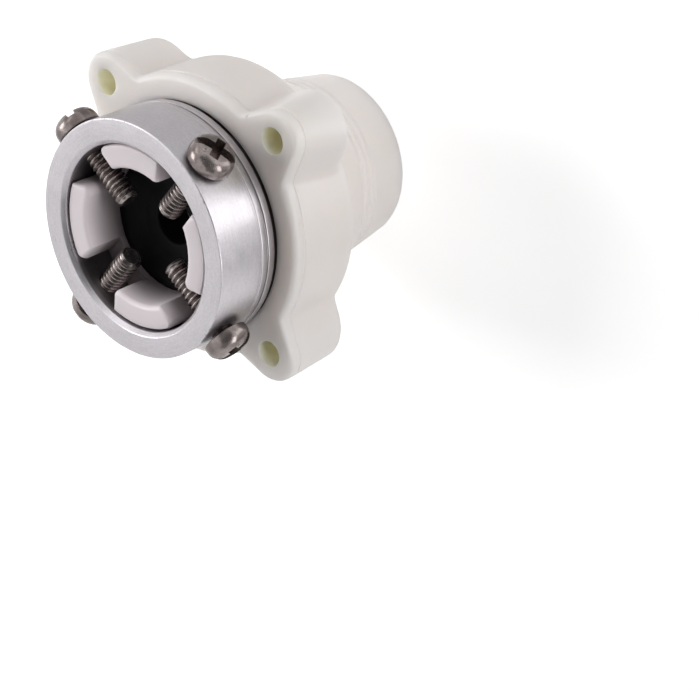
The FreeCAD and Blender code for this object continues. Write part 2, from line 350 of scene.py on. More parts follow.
def cut_with(obj, cutter):
    """Cuts one closed object out of another, and removes the cutter."""
    step = obj.modifiers.new("cut", "BOOLEAN")
    step.object = cutter
    step.operation = "DIFFERENCE"
    step.solver = "EXACT"
    depsgraph = bpy.context.evaluated_depsgraph_get()
    mesh = bpy.data.meshes.new_from_object(obj.evaluated_get(depsgraph))
    obj.modifiers.clear()
    mesh.name = obj.name
    obj.data = mesh
    bpy.data.objects.remove(cutter)


def turn_mesh(mesh, matrix):
    """Moves a mesh's own points, so that its object stays at the origin."""
    mesh.transform(matrix)
    return mesh


def place(obj, material, body, slot, *nodes):
    """Gives a piece its finish and its body, and hides the nodes it stands for."""
    obj.data.materials.clear()
    obj.data.materials.append(material)
    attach(obj, body)
    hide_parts(*nodes)


class Nodes:
    """Short calls for building a node tree."""

    def __init__(self, tree):
        self.tree = tree
        self.tree.nodes.clear()

    def add(self, kind, inputs=(), **settings):
        node = self.tree.nodes.new(kind)
        for key, value in settings.items():
            setattr(node, key, value)
        for key, value in dict(inputs).items():
            if isinstance(value, bpy.types.NodeSocket):
                self.tree.links.new(value, node.inputs[key])
            else:
                node.inputs[key].default_value = value
        return node

    def math(self, operation, *values):
        node = self.add("ShaderNodeMath", dict(enumerate(values)), operation=operation)
        return node.outputs[0]

    def noise(self, vector, scale, detail=3.0, roughness=0.5):
        node = self.add("ShaderNodeTexNoise", {"Vector": vector, "Scale": scale,
                                               "Detail": detail, "Roughness": roughness})
        return node.outputs["Fac"]

    def span(self, value, low, high, to_low=0.0, to_high=1.0):
        node = self.add("ShaderNodeMapRange", {0: value, 1: low, 2: high, 3: to_low, 4: to_high})
        return node.outputs[0]

    def blend(self, factor, first, second):
        node = self.add("ShaderNodeMix", {"Factor": factor}, data_type="RGBA")
        for index, colour in ((6, first), (7, second)):
            if isinstance(colour, bpy.types.NodeSocket):
                self.tree.links.new(colour, node.inputs[index])
            else:
                node.inputs[index].default_value = (*colour[:3], 1)
        return node.outputs[2]

    def ramp(self, value, low, high, low_colour, high_colour):
        return self.blend(self.span(value, low, high), low_colour, high_colour)

    def height(self, where):
        return self.add("ShaderNodeSeparateXYZ", {0: where}).outputs["Z"]


def new_material(name):
    """A material with an empty tree, its node helper and its Object coordinates."""
    material = bpy.data.materials.new(name)
    material.use_nodes = True
    nodes = Nodes(material.node_tree)
    place_node = nodes.add("ShaderNodeTexCoord")
    return material, nodes, place_node.outputs["Object"]


def times(colour, factors):
    """A colour times one factor, or times a factor a channel."""
    return np.multiply(tuple(colour), factors).tolist()


def shade(nodes, colour, roughness, bump, bump_size, **sockets):
    """Ends a tree with a Principled shader; the bump's size is in metres."""
    relief = nodes.add("ShaderNodeBump", {"Height": bump, "Strength": 1.0,
                                          "Distance": bump_size})
    inputs = {"Base Color": colour, "Roughness": roughness, "Normal": relief.outputs[0]}
    inputs.update({key.replace("_", " "): value for key, value in sockets.items()})
    shader = nodes.add("ShaderNodeBsdfPrincipled", inputs)
    nodes.add("ShaderNodeOutputMaterial", {"Surface": shader.outputs[0]})


def axis_distance(nodes, where, centre):
    """The distance in plan from an upright axis through a point."""
    shift = nodes.add("ShaderNodeVectorMath", {0: where, 1: (-centre[0], -centre[1], 0)})
    flat = nodes.add("ShaderNodeVectorMath", {0: shift.outputs[0], 1: (1, 1, 0)},
                     operation="MULTIPLY")
    length = nodes.add("ShaderNodeVectorMath", {0: flat.outputs[0]}, operation="LENGTH")
    return length.outputs["Value"]


def core_centre(n):
    """The middle of an ear's cored hole, seen from above."""
    turn = TURN / EAR_COUNT * n
    return EAR_CORE_CENTRE * math.cos(turn), EAR_CORE_CENTRE * math.sin(turn)


def moulded_plastic(settings):
    """Off-white moulded plastic, slightly cloudy, with pale yellowish cored holes made extra
    pale as painted light, painted shade in the groove behind the ring and one small dirt
    speck beside an ear. The masks reach a little past the shapes that they follow."""
    material, nodes, where = new_material("moulded_plastic")
    base = settings.plastic_colour
    colour = nodes.ramp(nodes.noise(where, 60.0, 3.0), 0.35, 0.65,
                        times(base, (0.97, 0.965, 0.945)), base)
    height = nodes.height(where)

    # Painted light: the cored holes get a pale yellowish colour, made pale enough to stand in for
    # the light that comes through their thin walls.
    in_core = None
    for n in range(EAR_COUNT):
        inside = nodes.math("LESS_THAN", axis_distance(nodes, where, core_centre(n)),
                            EAR_CORE_R + 0.05 * MM)
        in_core = inside if in_core is None else nodes.math("MAXIMUM", in_core, inside)
    below = nodes.math("LESS_THAN", height, FACE_Z - 0.02 * MM)
    above = nodes.math("GREATER_THAN", height, FACE_Z - EAR_CORE_DEPTH - 0.1 * MM)
    mask = nodes.math("MULTIPLY", nodes.math("MULTIPLY", in_core, below), above)
    colour = nodes.blend(mask, colour, settings.core_tint_and_painted_light)

    # Painted shade: the groove behind the ring is darkened where the ring shades it.
    radius = axis_distance(nodes, where, (0, 0))
    in_groove = nodes.math("MULTIPLY", nodes.math("LESS_THAN", radius, GROOVE_R + 0.03 * MM),
                           nodes.math("GREATER_THAN", radius, BOSS_R - GROOVE_PAINTED_SHADE_INWARD))
    behind_ring = nodes.math("COMPARE", height, (GROOVE_Z + RING_LOW.z) / 2,
                             (RING_LOW.z - GROOVE_Z) / 2 + 0.1 * MM)
    colour = nodes.blend(nodes.math("MULTIPLY", in_groove, behind_ring), colour, GROOVE_PAINTED_SHADE)

    from_speck = nodes.add("ShaderNodeVectorMath", {0: where, 1: SPECK_PLACE},
                           operation="DISTANCE").outputs["Value"]
    uneven = nodes.math("MULTIPLY", nodes.noise(where, 1500.0), SPECK_UNEVEN)
    speck = nodes.span(nodes.math("ADD", from_speck, uneven), SPECK_CORE_R, SPECK_R,
                       SPECK_MOST, 0.0)
    colour = nodes.blend(speck, colour, SPECK_COLOUR)

    rough = nodes.span(nodes.noise(where, 240.0, 3.0), 0.3, 0.7, 0.33, 0.44)
    shade(nodes, colour, rough, nodes.noise(where, 900.0, 2.0), 0.012 * MM,
          Subsurface_Weight=0.9, Subsurface_Radius=(1.0, 0.93, 0.85),
          Subsurface_Scale=5.0 * MM)
    return material


def turned_aluminium(settings):
    """Satin aluminium: fine grain drawn out round the axis, as turning and tumbling
    leave it. The bore has painted shade inwards from its mouth and a few dark specks on
    one side, the side's lines have painted shade, and the front edge has small nicks."""
    material, nodes, where = new_material("turned_aluminium")
    radius = axis_distance(nodes, where, (0, 0))
    parts = nodes.add("ShaderNodeSeparateXYZ", {0: where})
    height = parts.outputs["Z"]
    angle = nodes.math("ARCTAN2", parts.outputs["Y"], parts.outputs["X"])
    lines_at = nodes.add("ShaderNodeCombineXYZ", {
        0: radius, 1: height, 2: nodes.math("MULTIPLY", angle, GRAIN_RUN)})
    lines = nodes.noise(lines_at.outputs[0], 3200.0, 3.0, 0.6)
    grain = nodes.noise(where, 2600.0, 3.0, 0.6)
    mixed = nodes.math("ADD", nodes.math("MULTIPLY", lines, 0.5),
                       nodes.math("MULTIPLY", grain, 0.5))
    base = settings.metal_colour
    colour = nodes.ramp(mixed, 0.35, 0.65, times(base, 0.88), times(base, 1.07))

    # Painted shade: the bore darkens inwards from just below the mouth.
    bore = nodes.math("LESS_THAN", radius, RING_BORE_R + 0.3 * MM)
    painted_bore_shade = nodes.span(height, RING_HIGH.z - BORE_PAINTED_SHADE_FROM, RING_HIGH.z - BORE_PAINTED_SHADE_TO,
                      0.0, BORE_PAINTED_SHADE_MOST)
    colour = nodes.blend(nodes.math("MULTIPLY", bore, painted_bore_shade), colour, BORE_PAINTED_SHADE)
    near_mouth = nodes.math("GREATER_THAN", height, RING_HIGH.z - BORE_SPECKS_DEPTH)
    on_side = nodes.math("COMPARE", angle, BORE_SPECKS_TURN, BORE_SPECKS_HALF)
    in_bore = nodes.math("MULTIPLY", nodes.math("MULTIPLY", bore, near_mouth), on_side)
    speck = nodes.span(nodes.noise(where, 1100.0, 3.0), 0.60, 0.70)
    colour = nodes.blend(nodes.math("MULTIPLY", speck, in_bore), colour, BORE_SPECKS)

    # Painted shade: the side's cut lines near the lip are darkened.
    in_line = nodes.span(radius, RING_R - LINE_PAINTED_SHADE_FROM, RING_R - LINE_PAINTED_SHADE_TO,
                         0.0, LINE_PAINTED_SHADE_MOST)
    by_lip = nodes.math("COMPARE", height, LINE_PAINTED_SHADE_MIDDLE, LINE_PAINTED_SHADE_HALF)
    colour = nodes.blend(nodes.math("MULTIPLY", in_line, by_lip), colour, LINE_PAINTED_SHADE)

    on_edge = nodes.math("GREATER_THAN", nodes.math("ADD", radius, height),
                         RING_R + RING_HIGH.z - NICK_REACH)
    nick = nodes.span(nodes.noise(where, 1200.0, 3.0), 0.62, 0.72)
    colour = nodes.blend(nodes.math("MULTIPLY", nick, on_edge), colour, NICK_COLOUR)

    rough = nodes.math("ADD", nodes.span(nodes.noise(where, 160.0, 4.0), 0.3, 0.7, 0.31, 0.44),
                       nodes.span(lines, 0.3, 0.7, -0.05, 0.05))
    shade(nodes, colour, rough, mixed, 0.008 * MM, Metallic=1.0)
    return material


def petal_plastic(settings):
    """Plain white moulded plastic with a very fine grain, darker towards its foot as painted
    shade.
    """
    material, nodes, where = new_material("petal_plastic")
    base = settings.petal_colour
    colour = nodes.ramp(nodes.noise(where, 90.0, 3.0), 0.3, 0.7, times(base, 0.96), base)
    # Painted shade: the petals darken towards the flange.
    painted_foot_shade = nodes.span(nodes.height(where), GUIDE_LOW.z + PETAL_PAINTED_SHADE_LOW,
                       GUIDE_HIGH.z - PETAL_PAINTED_SHADE_TOP, 1.0, 0.0)
    colour = nodes.blend(painted_foot_shade, colour, times(base, PETAL_PAINTED_SHADE))
    rough = nodes.span(nodes.noise(where, 300.0, 2.0), 0.3, 0.7, 0.40, 0.52)
    shade(nodes, colour, rough, nodes.noise(where, 1100.0, 2.0), 0.01 * MM,
          Subsurface_Weight=0.15, Subsurface_Radius=(1.0, 0.85, 0.8),
          Subsurface_Scale=1.0 * MM)
    return material


def black_rubber(settings):
    """Black rubber, matte and slightly uneven."""
    material, nodes, where = new_material("black_rubber")
    cloud = nodes.noise(where, 150.0, 4.0)
    base = settings.rubber_colour
    colour = nodes.ramp(cloud, 0.3, 0.7, times(base, 0.7), times(base, 1.5))
    rough = nodes.span(cloud, 0.3, 0.7, 0.6, 0.75)
    shade(nodes, colour, rough, nodes.noise(where, 700.0, 3.0), 0.02 * MM,
          Specular_IOR_Level=0.12)
    return material


def screw_steel(settings):
    """Worn plated steel; a point attribute is 1 in the thread's valleys and recesses, where it
    darkens the steel as partly dirt and partly painted shade.
    """
    material, nodes, where = new_material("screw_steel")
    # Partly dirt, partly painted shade: darker in the thread's valleys, the recess and the dimple.
    dirt_and_shade = nodes.add("ShaderNodeAttribute", attribute_name="dirt_and_shade").outputs["Fac"]
    wear = nodes.noise(where, 420.0, 4.0)
    base = settings.steel_colour
    bright = nodes.ramp(wear, 0.35, 0.65, times(base, 0.5), times(base, 1.3))
    colour = nodes.blend(dirt_and_shade, bright, settings.dirt_and_shade_colour)
    rough = nodes.math("ADD", nodes.span(wear, 0.3, 0.7, 0.1, 0.22),
                       nodes.math("MULTIPLY", dirt_and_shade, 0.14))
    shade(nodes, colour, rough, nodes.noise(where, 1000.0, 3.0), 0.02 * MM, Metallic=0.85)
    return material


def lobe_radius(angle, tip_centre, tip_round, root_centre, root_round):
    """An ear seen from above, as the distance from the axis at an angle from the ear's
    middle: the tip's circle where the ray meets its arc, else the straight side that
    touches the tip's and the root's circles."""
    away = np.abs(angle)
    lean = np.arcsin((root_round - tip_round) / (tip_centre - root_centre))
    reach = tip_centre * np.sin(away)
    arc = tip_centre * np.cos(away) + np.sqrt(np.maximum(tip_round ** 2 - reach ** 2, 0))
    side = (np.sin(lean) * tip_centre + tip_round) / np.cos(away - (math.pi / 2 - lean))
    touch = np.arctan2(tip_round * np.cos(lean), tip_centre + tip_round * np.sin(lean))
    return np.where(away < touch, arc, side)


def soft_max(first, second, blend):
    """The larger of two values, with a rounded change where they are within the blend."""
    near = np.maximum(blend - np.abs(first - second), 0) / np.maximum(blend, 1e-9)
    return np.maximum(first, second) + near * near * blend / 4


def ear_angle(turn):
    """The angle from the middle of the nearest ear."""
    step = TURN / EAR_COUNT
    return (turn + step / 2) % step - step / 2


def eared_radius(turn, z, barrel_r, fade, ear_inset, neck):
    """The barrel's outline at a height: the barrel's circle joined softly to the ears,
    which widen and move in towards the back. Fade 0 leaves the ears out."""
    back = np.clip((LINE_LOW - z) / (LINE_LOW - EAR_BACK_Z), 0, 1)
    tip_round = EAR_TIP_ROUND + EAR_WIDEN * back
    tip_centre = EAR_TIP_R - EAR_TIP_ROUND - EAR_SHIFT * back
    root_centre = BARREL_R - EAR_ROOT_INSET - EAR_SHIFT * back
    lobe = lobe_radius(ear_angle(turn), tip_centre, tip_round, root_centre,
                       EAR_ROOT_ROUND + EAR_WIDEN * back)
    lobe = barrel_r + (lobe - ear_inset - barrel_r) * fade
    return soft_max(barrel_r, lobe, neck * fade)


def body_rows(settings):
    """The body's outer section as rows (height, radius or barrel radius, ear fade, ear
    inset, whether it has ears): from the water way's lower end down the outlet, round the
    tail's lip, and up the tail, the ears' backs and the barrel to the front plate's edge."""
    sine, cosine = quarter(7)
    rows = []

    def circle(r, z):
        rows.append((z, r, 0.0, 0.0, False))

    def eared(r, z, fade, inset):
        rows.append((z, r, fade, inset, True))

    for r, z in ((INLET_R, OUTLET_DEPTH + OUTLET_R - INLET_R), (OUTLET_R, OUTLET_DEPTH),
                 (OUTLET_R, OUTLET_DEPTH / 2), (OUTLET_R, OUTLET_EDGE),
                 (OUTLET_R + OUTLET_EDGE * 0.3, OUTLET_EDGE / 4), (OUTLET_R + OUTLET_EDGE, 0.0)):
        circle(r, z)

    slope = (TAIL_ROOT_R - TAIL_TIP_R) / TAIL_HEIGHT
    for s, c in zip(sine, cosine):
        circle(TAIL_TIP_R + slope * TAIL_LIP - TAIL_LIP * (1 - s), TAIL_LIP * (1 - c))
    for n in reversed(range(TAIL_GROOVES)):
        middle = TAIL_GROOVE_TOP - n * TAIL_GROOVE_PITCH
        for part in np.linspace(-0.5, 0.5, 9):
            z = middle + part * TAIL_GROOVE_WIDTH
            dip = settings.groove_depth * math.cos(math.pi * part) ** 2
            circle(TAIL_TIP_R + slope * z - dip, z)
    for z in np.linspace(TAIL_GROOVE_TOP + TAIL_GROOVE_WIDTH, TAIL_HEIGHT - TAIL_ROOT_SOFT, 4):
        circle(TAIL_TIP_R + slope * z, z)
    circle(TAIL_ROOT_R + TAIL_ROOT_SOFT * 0.1, TAIL_HEIGHT - TAIL_ROOT_SOFT * 0.3)
    circle(TAIL_ROOT_R + TAIL_ROOT_SOFT * 0.8, TAIL_HEIGHT)

    for s, c in zip(sine, cosine):
        z = TAIL_HEIGHT + SHOULDER_ROUND * (1 - c)
        if z < EAR_BACK_Z:
            eared(BARREL_R - SHOULDER_ROUND * (1 - s), z, 0.0, 0.0)
    for fade in np.linspace(0, 1, 6)[1:]:
        eared(BARREL_R - EAR_BACK_STEP * 0.4, EAR_BACK_Z + EAR_BACK_STEP * fade, fade,
              EAR_BACK_ROUND)
    for s, c in zip(sine[1:], cosine[1:]):
        eared(BARREL_R, EAR_BACK_Z + EAR_BACK_ROUND * (1 - c) + EAR_BACK_STEP * 1.2, 1.0,
              EAR_BACK_ROUND * (1 - s))

    for z in np.linspace(EAR_BACK_Z + EAR_BACK_ROUND + MM, LINE_LOW - 0.1 * MM, 9):
        eared(BARREL_R, z, 1.0, 0.0)
    for z, inset in ((LINE_LOW, LINE_EDGE), (LINE_LOW + LINE_SLOPE, LINE_DEPTH),
                     (LINE_TOP - LINE_SLOPE, LINE_DEPTH), (LINE_TOP, LINE_EDGE),
                     (LINE_TOP + 0.1 * MM, 0.0)):
        eared(BARREL_R - inset, z, 1.0, inset)
    edge = settings.edge_round
    for s, c in zip(sine, cosine):
        eared(BARREL_R - edge * (1 - c), FACE_Z - edge * (1 - s), 1.0, edge * (1 - c))
    return rows


def body_points(settings):
    """The body as one closed surface. Each row is a loop round the axis, with its columns
    spread evenly along the eared outline. After the outer section come the front face, the
    groove, the threaded boss, its recess and the packing's seat, and the last row meets
    the first in the water way."""
    fine = np.linspace(0, TURN, 10 * BODY_COLUMNS + 1)
    outline = eared_radius(fine, (LINE_LOW + EAR_BACK_Z) / 2, BARREL_R, 1.0, 0.0,
                           settings.neck_round)
    steps = np.hypot(np.diff(outline * np.cos(fine)), np.diff(outline * np.sin(fine)))
    along = np.concatenate([[0], np.cumsum(steps)])
    turn = np.interp(np.linspace(0, along[-1], BODY_COLUMNS, endpoint=False), along, fine)
    rings = []

    def circles(*corners):
        rings.extend((np.full(BODY_COLUMNS, r), z) for r, z in corners)

    for z, r, fade, inset, with_ears in body_rows(settings):
        if with_ears:
            rings.append((eared_radius(turn, z, r, fade, inset, settings.neck_round), z))
        else:
            circles((r, z))
    rim = rings[-1][0]
    rings += [(rim + (GROOVE_R - rim) * share, FACE_Z) for share in (0.2, 0.5, 0.8)]
    circles((GROOVE_R + GROOVE_EDGE, FACE_Z), (GROOVE_R, FACE_Z - GROOVE_EDGE),
            (GROOVE_R, GROOVE_Z + SMALL_EDGE), (GROOVE_R - SMALL_EDGE, GROOVE_Z),
            (BOSS_R + SMALL_EDGE, GROOVE_Z), (BOSS_R, GROOVE_Z + SMALL_EDGE))
    top = BODY_HIGH.z
    for z in np.arange(FACE_Z, top - 0.35 * MM, BOSS_PITCH / 8):
        fade = min(1.0, (z - FACE_Z) / BOSS_THREAD_FADE, (top - z) / BOSS_THREAD_FADE)
        valley = thread_valley(z, turn, BOSS_PITCH, BOSS_THREAD_FLAT)
        rings.append((BOSS_R - BOSS_THREAD_DEPTH * valley * fade, z))
    circles((BOSS_R - BOSS_EDGE, top), (RECESS_R + SMALL_EDGE, top),
            (RECESS_R, top - SMALL_EDGE), (RECESS_R, SEAT_Z),
            (INLET_R + SMALL_EDGE, SEAT_Z), (INLET_R, SEAT_Z - SMALL_EDGE))
    radius = np.array([ring for ring, _ in rings])
    height = np.repeat([[z] for _, z in rings], BODY_COLUMNS, axis=1)
    return np.stack([radius * np.cos(turn), radius * np.sin(turn), height], axis=-1)


def ear_core_cutter():
    """Four round pins with softly rounded ends, standing where the ears are cored."""
    height = EAR_CORE_DEPTH + CUTTER_REACH
    profile = rounded([(0, 0), (EAR_CORE_R, 0), (EAR_CORE_R, height), (0, height)], 0.5 * MM)
    pins = []
    for n in range(EAR_COUNT):
        points = revolve_points(profile, 48) + (*core_centre(n), FACE_Z - EAR_CORE_DEPTH)
        pins.append(grid_object("ear_core_%d" % n, points, True))
    return join(pins)


def packing_profile():
    """The packing's section: neck below the seat, rim, and a dish round the hole."""
    low, high = PACKING_LOW.z, PACKING_HIGH.z
    rim = PACKING_R - PACKING_RIM
    dish = high - PACKING_DISH_DEPTH
    return rounded([
        (PACKING_HOLE_R, low), (PACKING_NECK_R, low), (PACKING_NECK_R, SEAT_Z),
        (PACKING_R, SEAT_Z), (PACKING_R, high), (rim, high), (rim - PACKING_DISH_RUN, dish),
        (PACKING_HOLE_R, dish),
    ], 0.4 * MM)


def ring_profile():
    """The ring's section: skirt, lip and lines outside, mouth chamfer and shoulder inside."""
    top, low = RING_HIGH.z, RING_LOW.z
    in_line = RING_R - LIP_LINE_DEPTH
    side = []
    for above, depth in SIDE_LINES:
        z = LIP_Z + above
        side += [(RING_R, z - SIDE_LINE_HALF), (RING_R - depth, z), (RING_R, z + SIDE_LINE_HALF)]
    return rounded([
        (RING_SKIRT_R, low), (RING_R, low), (RING_R, LIP_Z), (in_line, LIP_Z + LIP_LINE_SLOPE),
        (in_line, LIP_Z + LIP_LINE - LIP_LINE_SLOPE), (RING_R, LIP_Z + LIP_LINE), *side,
        (RING_R, (LIP_Z + top) / 2), (RING_R, top - RING_EDGE), (RING_R - RING_EDGE, top),
        (RING_BORE_R + MOUTH_CHAMFER, top), (RING_BORE_R, top - MOUTH_CHAMFER),
        (RING_BORE_R, SHOULDER_Z), (RING_SKIRT_R, SHOULDER_Z),
    ], 0.14 * MM, 4)


def at_screw(n, away):
    """Turns the X axis onto a clamp screw's axis, and shifts it out by a distance."""
    turn = SCREW_TURN + TURN / SCREW_COUNT * n
    shift = Matrix.Translation((away * math.cos(turn), away * math.sin(turn), SCREW_Z))
    return shift @ Matrix.Rotation(turn, 4, "Z")


def screw_hole_cutter():
    """Four round pins that lie where the clamp screws pass through the ring."""
    wall = RING_R - RING_BORE_R
    profile = [(0, 0), (SCREW_HOLE_R, 0), (SCREW_HOLE_R, 2 * wall), (0, 2 * wall)]
    lay = Matrix.Rotation(math.pi / 2, 4, "Y")
    pins = []
    for n in range(SCREW_COUNT):
        mesh = finish_mesh(grid_mesh("tap_%d" % n, revolve_points(profile, 48), True))
        pins.append(new_object(turn_mesh(mesh, at_screw(n, RING_BORE_R - wall / 2) @ lay)))
    return join(pins)


def petal_points(middle, high, low):
    """One petal as a closed surface: loops of a ring sector's outline with rounded
    corners, carried up from the flange, drawn in over a soft edge and closed on top and
    below along a line through the petal's middle."""
    side_steps, corner_steps = 30, 7
    half_span = PETAL_SPAN / 2

    def outline(inset):
        rounding = max(PETAL_CORNER - inset, 0.1 * MM)
        loop = []
        for radius, sign in ((PETAL_R - PETAL_OUTER_EDGE * inset, 1), (PETAL_BORE_R + inset, -1)):
            centre_r = radius - sign * rounding
            half = (half_span - (inset + rounding) / centre_r) * sign
            turns = np.linspace(-half, half, side_steps)
            loop.append(np.stack([radius * np.cos(turns), radius * np.sin(turns)], axis=-1))
            bend = np.linspace(0, math.pi / 2, corner_steps + 1)[1:]
            x, y = centre_r + rounding * np.cos(bend) * sign, rounding * np.sin(bend) * sign
            cos, sin = math.cos(half), math.sin(half)
            loop.append(np.stack([x * cos - y * sin, x * sin + y * cos], axis=-1))
        return np.concatenate(loop)

    sine, cosine = quarter(7)
    levels = [(0.0, low), (0.0, (low + high) / 2), (0.0, high - PETAL_EDGE)]
    levels += [(PETAL_EDGE * (1 - c), high - PETAL_EDGE * (1 - s))
               for s, c in zip(sine[1:], cosine[1:])]
    rings = [np.column_stack([outline(inset), np.full(2 * (side_steps + corner_steps), z)])
             for inset, z in levels]
    top = rings[-1]
    spine_r = (PETAL_R + PETAL_BORE_R) / 2
    limit = half_span - (PETAL_R - PETAL_BORE_R) / 2 / spine_r
    turns = np.linspace(-limit, limit, len(top) // 2)
    turns = np.concatenate([turns, turns[::-1]])
    spine = np.column_stack([spine_r * np.cos(turns), spine_r * np.sin(turns),
                             np.full(len(turns), high)])
    points = np.array([spine - (0, 0, high - low), *rings, (top + spine) / 2, spine])
    cos, sin = math.cos(middle), math.sin(middle)
    x, y = points[..., 0].copy(), points[..., 1].copy()
    points[..., 0], points[..., 1] = x * cos - y * sin, x * sin + y * cos
    return points


def thread_points():
    """A screw's shank along +X, its tip at minus its length: the radius falls into a helical
    valley once a pitch, and the tip is chamfered and cupped. Gives the points and the dirt
    and painted shade at each of them."""
    turn = np.linspace(0, TURN, SCREW_STEPS, endpoint=False)
    along = np.arange(0.5 * MM - SCREW_LENGTH, 0.3 * MM, SCREW_PITCH / 9)[:, None]
    fade = np.clip((along + SCREW_LENGTH - 0.3 * MM) / SCREW_THREAD_FADE, 0, 1)
    # Painted shade with some dirt: 1 in the thread's valleys, fading out towards the tip.
    dirt_and_shade = thread_valley(along, turn, SCREW_PITCH, SCREW_THREAD_FLAT) * fade
    crest = SCREW_R - 0.03 * MM
    # Radius, depth from the tip's end, dirt and painted shade
    tip = np.array([(0.0, 0.3 * MM, 0.3), (SCREW_CUP_R * 0.6, 0.22 * MM, 0.1),
                    (SCREW_CUP_R, 0.02 * MM, 0.0), (SCREW_CUP_R + 0.1 * MM, 0.0, 0.0),
                    (SCREW_TIP_R - 0.1 * MM, 0.0, 0.0), (SCREW_TIP_R, 0.05 * MM, 0.1)])
    tip_r, tip_depth, tip_dirt_and_shade = np.repeat(tip.T[:, :, None], SCREW_STEPS, 2)
    end = np.full((1, SCREW_STEPS), along[-1, 0])
    x = np.concatenate([tip_depth - SCREW_LENGTH, np.repeat(along, SCREW_STEPS, 1), end])
    r = np.concatenate([tip_r, crest - SCREW_THREAD_DEPTH * dirt_and_shade, 0 * end])
    dirt_and_shade = np.concatenate([tip_dirt_and_shade, dirt_and_shade, 0 * end])
    return np.stack([x, r * np.cos(turn), r * np.sin(turn)], axis=-1), dirt_and_shade


def head_points():
    """A pan head along +X: a straight rim, then a quarter ellipse to a low crown, with
    a small pressed dimple beside the recess."""
    sine, cosine = quarter(14)
    crown = HEAD_HEIGHT - HEAD_CROWN_RISE
    profile = [(0.0, 0.0), (SCREW_R, 0.0), (HEAD_R - 0.15 * MM, 0.0), (HEAD_R, 0.12 * MM),
               (HEAD_R, HEAD_RIM / 2)]
    profile += [(HEAD_CROWN_R + (HEAD_R - HEAD_CROWN_R) * c, HEAD_RIM + (crown - HEAD_RIM) * s)
                for s, c in zip(sine, cosine)]
    profile += [(HEAD_CROWN_R * share, crown + HEAD_CROWN_RISE * (1 - share ** 2))
                for share in (0.75, 0.5, 0.25, 0.0)]
    y, z, x = np.moveaxis(revolve_points(profile, HEAD_STEPS), -1, 0)
    spot = DIMPLE_PLACE_R * math.sqrt(0.5)
    gap = ((y - spot) ** 2 + (z - spot) ** 2) / DIMPLE_R ** 2
    x = x - np.where(x > HEAD_RIM, DIMPLE_DEPTH * np.exp(-gap * gap), 0)
    return np.stack([x, y, z], axis=-1)


def head_dirt_and_shade(mesh):
    """Dirt and painted shade on a recessed head: the least share on the dome, and more with
    the depth below it, in the recess and the dimple, where it is painted shade."""
    at = np.empty(3 * len(mesh.vertices), dtype=np.float32)
    mesh.vertices.foreach_get("co", at)
    at = at.reshape(-1, 3)
    beside = np.hypot(at[:, 1], at[:, 2])
    fall = ((beside - HEAD_CROWN_R) / (HEAD_R - HEAD_CROWN_R)).clip(0, 1)
    dome = HEAD_RIM + (HEAD_HEIGHT - HEAD_RIM) * np.sqrt(np.clip(1 - fall ** 2, 0, 1))
    sunk = np.clip((dome - at[:, 0]) / HEAD_SHADE_RUN - HEAD_SHADE_START, 0, 1)
    sunk = sunk * (beside < HEAD_R - 0.1 * MM) * (at[:, 0] > HEAD_RIM * 0.5)
    return np.maximum(sunk, HEAD_DIRT_LEAST)


def set_dirt_and_shade(mesh, dirt_and_shade):
    """Stores the dirt and painted shade at each point, which the steel's finish reads."""
    layer = mesh.attributes.new("dirt_and_shade", "FLOAT", "POINT")
    layer.data.foreach_set("value", dirt_and_shade.reshape(-1).astype(np.float32))


def tapered_bar(name, length, width, depth):
    """A straight cutter along Y, standing over the head's crown, narrower at its foot."""
    half, wide, high = length / 2, width / 2, HEAD_HEIGHT + 0.5 * MM
    foot = HEAD_HEIGHT - depth
    corners = [(x, y * part, z * part) for x, part in ((foot, SLOT_FOOT), (high, 1.0))
               for y, z in ((-half, -wide), (half, -wide), (half, wide), (-half, wide))]
    faces = [(0, 3, 2, 1), (4, 5, 6, 7), (0, 1, 5, 4), (1, 2, 6, 5), (2, 3, 7, 6), (3, 0, 4, 7)]
    mesh = bpy.data.meshes.new(name)
    mesh.from_pydata(corners, [], faces)
    return mesh


def build_screw(n, material):
    """One clamp screw: threaded shank and recessed head as one object."""
    name = "clamp_screw_%d_shown" % (n + 1)
    points, dirt_and_shade = thread_points()
    shank = grid_mesh(name + "_shank", points, False)
    set_dirt_and_shade(shank, dirt_and_shade)
    shank = new_object(finish_mesh(shank, 50))
    head = grid_object(name, head_points(), False, 40)
    slot = tapered_bar("slot", 2.4 * HEAD_R, SLOT_WIDTH, SLOT_DEPTH)
    arm = tapered_bar("arm", 2 * CROSS_REACH, SLOT_WIDTH, CROSS_DEPTH)
    cross_arm = turn_mesh(arm.copy(), Matrix.Rotation(math.pi / 2, 4, "X"))
    for cutter in (slot, arm, cross_arm):
        cut_with(head, new_object(cutter))
    set_dirt_and_shade(head.data, head_dirt_and_shade(head.data))
    shade_smooth(head.data, 32)
    screw = join([head, shank])
    # the part turns its slot about Z before it lays the screw along X
    roll = Matrix.Rotation(math.radians(SCREW_SLOT_TURN[n]) - math.pi / 2, 4, "X")
    turn_mesh(screw.data, at_screw(n, RING_R + SCREW_BACKED_OUT[n]) @ roll)
    place(screw, material, "screw_%d" % (n + 1), "screw_steel", "clamp_screw_%d" % (n + 1))


def area_lamp(name, place_at, width, height, power):
    """A soft box that faces the object. Reflections don't show it."""
    light = bpy.data.lights.new(name, "AREA")
    light.shape = "RECTANGLE"
    light.size, light.size_y = width, height
    light.energy = power
    lamp = bpy.data.objects.new(name, light)
    bpy.context.scene.collection.objects.link(lamp)
    lamp.visible_camera = False
    lamp.visible_glossy = False
    lamp.location = place_at
    towards = Vector(LAMP_TARGET) - Vector(place_at)
    lamp.rotation_euler = towards.to_track_quat("-Z", "Y").to_euler()


